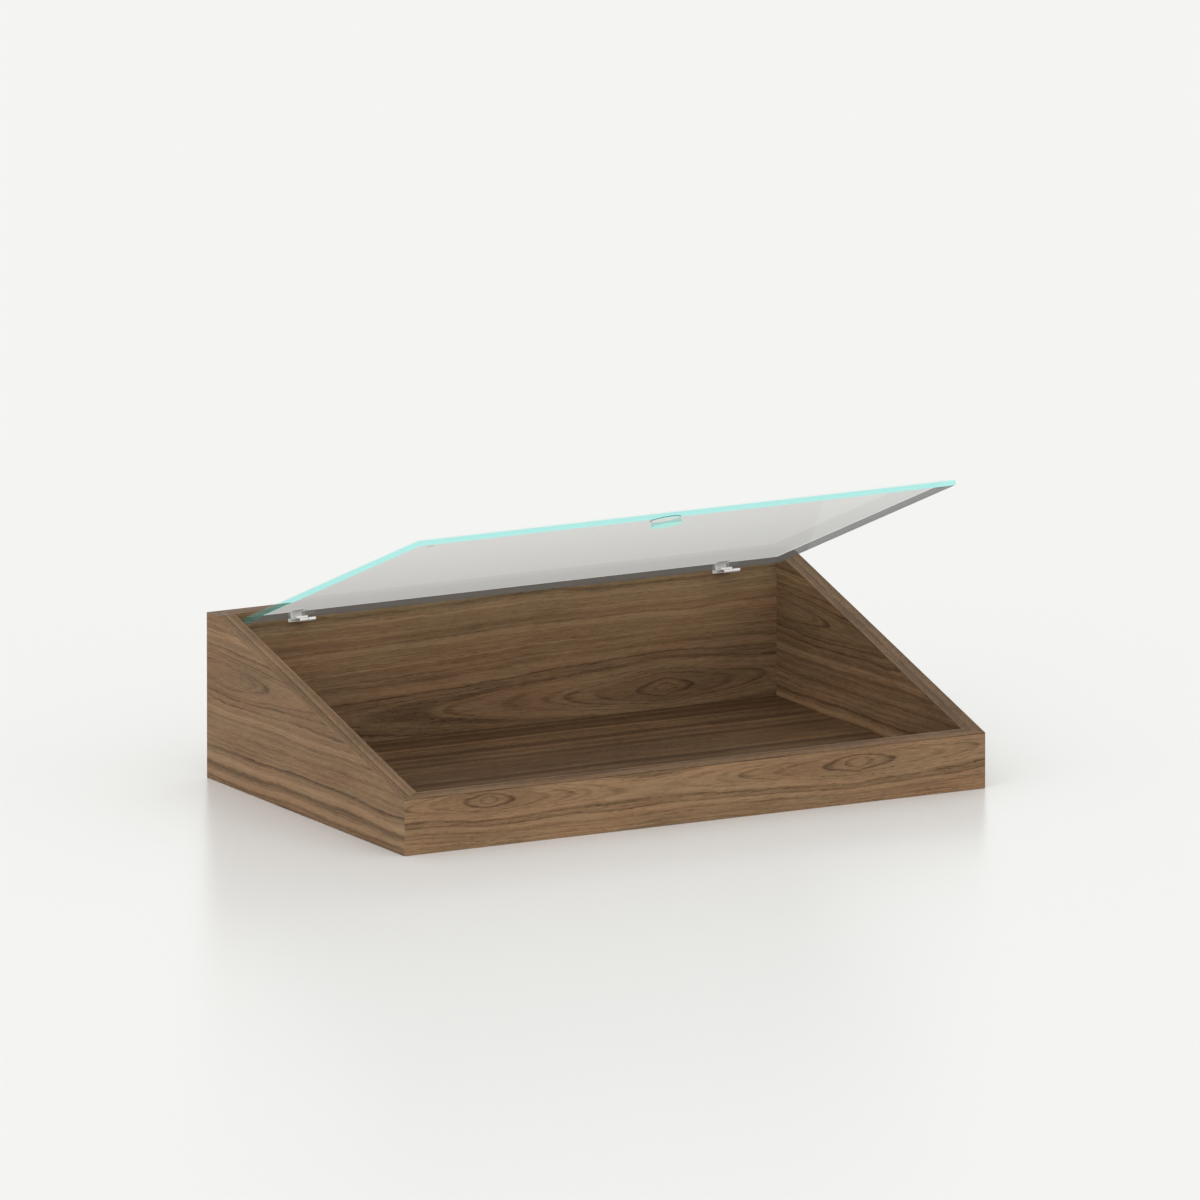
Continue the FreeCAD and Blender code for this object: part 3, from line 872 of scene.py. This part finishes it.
def painted_light_wedges(tree, on_lid):
    """1 in the wedges of painted light next to the front or left edge."""
    from_front = calc(tree, "ADD", on_lid["Y"], LID_LENGTH)
    from_left = calc(tree, "ADD", on_lid["X"], LID_WIDTH / 2)
    wedges = calc(tree, "MAXIMUM",
                  calc(tree, "MULTIPLY_ADD", from_front, FRONT_LIGHT_WEDGE, on_lid["Z"]),
                  calc(tree, "MULTIPLY_ADD", from_left, LEFT_LIGHT_WEDGE, on_lid["Z"]))
    return band(tree, wedges, *WEDGE_LIMIT)


def under_clamps(tree, on_lid):
    """1 in the two stretches of the rear edge that the clamps cover."""
    covered = 0.0
    for side in ("left", "right"):
        low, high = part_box(side + "_clamp")
        half = (high[0] - low[0]) / 2
        away = calc(tree, "SUBTRACT", on_lid["X"], (low[0] + high[0]) / 2)
        away = calc(tree, "ABSOLUTE", away)
        one = band(tree, away, half, half + CLAMP_BLUR, 1.0, 0.0)
        covered = calc(tree, "MAXIMUM", covered, one)
    return calc(tree, "MULTIPLY", covered, band(tree, on_lid["Y"], *REAR_EDGE))


def edge_glass(name, outside, inside, rear, glow=0.0):
    """The glass of an edge; 'rear' is its tint from within at the rear, 'glow' its own light."""
    material, tree, shader, behind, on_lid = start_glass(name)
    gripped = under_clamps(tree, on_lid)
    at_rear = band(tree, on_lid["Y"], *REAR_EDGE)
    seen_in = blend_colours(tree, at_rear, (*inside, 1), (*rear, 1))
    seen_in = blend_colours(tree, painted_light_wedges(tree, on_lid), seen_in, CLEAR)
    seen_in = blend_colours(tree, gripped, seen_in, CLEAR)
    seen_out = blend_colours(tree, gripped, (*outside, 1), CLEAR)
    tree.links.new(blend_colours(tree, behind, seen_out, seen_in), shader.inputs["Base Color"])
    surface = shader.outputs[0]
    if glow:
        scatter = add_node(tree, "ShaderNodeBsdfTranslucent", {"Color": seen_out})
        share = calc(tree, "MULTIPLY_ADD", behind, -glow, glow)
        surface = add_node(tree, "ShaderNodeMixShader",
                           {0: share, 1: surface, 2: scatter.outputs[0]}).outputs[0]
    let_lamps_through(tree, surface)
    return material


# Painted shade: the dark tints of the far edges, seen from within.
FAR_EDGE_SHADE = (0.080, 0.079, 0.076)
FAR_REAR_EDGE_SHADE = (0.17, 0.16, 0.135)
lid.data.materials.append(edge_glass("polished_edge", (0.30, 0.97, 0.92), FAR_EDGE_SHADE,
                                     FAR_REAR_EDGE_SHADE, glow=0.10))
# The pale outside tint of the upper arrises is a painted highlight.
lid.data.materials.append(edge_glass("arris", (0.85, 0.99, 0.98), FAR_EDGE_SHADE, FAR_REAR_EDGE_SHADE))
print("edge and arris ready")

# %% [markdown]
# ## The finger hole's wall
#
# The ground wall of the hole shines like the edges, a little greener, and is clear from within.
# Its upper arris gets a paler tint from outside, a painted highlight, and a near-black tint from
# within, which paints the thin dark line that it shows through the glass.

# %% Hole


def hole_glass(name, outside, inside):
    """The glass of the hole, with one tint for each side of the face."""
    material, tree, shader, behind, _ = start_glass(name)
    tint = blend_colours(tree, behind, (*outside, 1), (*inside, 1))
    tree.links.new(tint, shader.inputs["Base Color"])
    let_lamps_through(tree, shader.outputs[0])
    return material


lid.data.materials.append(hole_glass("hole_wall", (0.25, 0.86, 0.76), (1.0, 1.0, 1.0)))
# Painted highlight from outside and painted dark line from within.
lid.data.materials.append(hole_glass("hole_arris", (0.60, 0.95, 0.90), (0.01, 0.012, 0.012)))
print("lid has", ", ".join(material.name for material in lid.data.materials))

# %% [markdown]
# ## Sorting the faces and opening the lid
#
# Each face of the mesh gets its material by where it lies and which way it looks. What looks
# straight up or down is a face of the sheet, what lies round the hole is its wall or arris, and
# the rest are edges, with the arrises on the upper side apart. The finished sheet then goes to
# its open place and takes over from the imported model's lid.

# %% Faces sorted, lid opened
FACE, EDGE, UPPER_ARRIS, HOLE_WALL, HOLE_ARRIS = range(5)
FLAT = 0.99
SLANTED_UP = 0.3
AROUND_HOLE = 0.002


def part_of_sheet(face):
    """The number of the material that a face of the lying sheet gets."""
    upright = face.normal.z
    if abs(upright) > FLAT:
        return FACE
    if (face.center - hole_middle).length < HOLE_RADIUS + AROUND_HOLE:
        return HOLE_ARRIS if upright > SLANTED_UP else HOLE_WALL
    return UPPER_ARRIS if upright > SLANTED_UP else EDGE


count = [0] * len(lid.data.materials)
for face in lid.data.polygons:
    face.material_index = part_of_sheet(face)
    count[face.material_index] += 1
lid.data.transform(LID_OPEN)
lid.data.update()
print("glass lid", span(lid), "in the packed model", [tuple(end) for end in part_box("glass_lid")])
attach(lid, "lid")
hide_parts("glass_lid")
print("faces of sheet, edge, arris, hole wall and hole arris:", count)

# %% [markdown]
# ## Clear soft plastic
#
# Two clear dots under the front corners of the glass keep the closed lid off the wood. They are
# soft, slightly cloudy plastic: the streaks group with even patches gives the cloudiness, and
# the shader lets light pass.

# %% Clear soft plastic
soft = streaked("clear_bumper", (0.90, 0.92, 0.90), (0.80, 0.82, 0.80), (0.6, 0.6, 0.6), 0.12, 0.05)
shader = soft.node_tree.nodes["Principled BSDF"]
shader.inputs["Transmission Weight"].default_value = 1.0
shader.inputs["IOR"].default_value = 1.0
let_lamps_through(soft.node_tree, shader.outputs[0])
print(soft.name, "ready")

# %% [markdown]
# ## Bumpers
#
# A bumper is punched from soft sheet and its lower rim is rounded. So it starts as a flat
# cylinder under the lying glass, and its lower edge gets a bevel. The second one is a copy with
# its own mesh, moved across, and both are then opened with the lid.

# %% Bumpers
BUMPER_RADIUS = 0.004
BUMPER_HEIGHT = 0.0007
BUMPER_FROM_SIDE = 0.015
BUMPER_FROM_FRONT = 0.006
BUMPER_SIDES = 48
RIM_STEPS = 4
RIM_ROUNDING = BUMPER_HEIGHT * 0.8


def lies_low(first, second):
    """An edge of the bumper's lower rim."""
    return max(first.z, second.z) < -BUMPER_HEIGHT / 2


bpy.ops.object.select_all(action="DESELECT")
bpy.ops.mesh.primitive_cylinder_add(
    vertices=BUMPER_SIDES, radius=BUMPER_RADIUS, depth=BUMPER_HEIGHT,
    location=(BUMPER_FROM_SIDE - LID_WIDTH / 2, BUMPER_FROM_FRONT - LID_LENGTH,
              -BUMPER_HEIGHT / 2))
bumper = bpy.context.object
bpy.ops.object.transform_apply(location=True, rotation=True, scale=True)
bevel_edges(bumper, lies_low, RIM_ROUNDING, RIM_STEPS)
bpy.ops.object.shade_smooth_by_angle(angle=radians(40))
second_bumper = bumper.copy()
second_bumper.data = bumper.data.copy()
bpy.context.scene.collection.objects.link(second_bumper)
second_bumper.data.transform(Matrix.Translation((LID_WIDTH - 2 * BUMPER_FROM_SIDE, 0, 0)))
for piece, side in ((bumper, "left"), (second_bumper, "right")):
    piece.name = side + "_bumper_dot"
    piece.data.transform(LID_OPEN)
    piece.data.materials.clear()
    piece.data.materials.append(soft)
    print(side, "bumper", span(piece), "in the packed model",
          [[round(x, 5) for x in end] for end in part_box(side + "_lid_bumper")])
    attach(piece, "lid")
    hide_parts(side + "_lid_bumper")
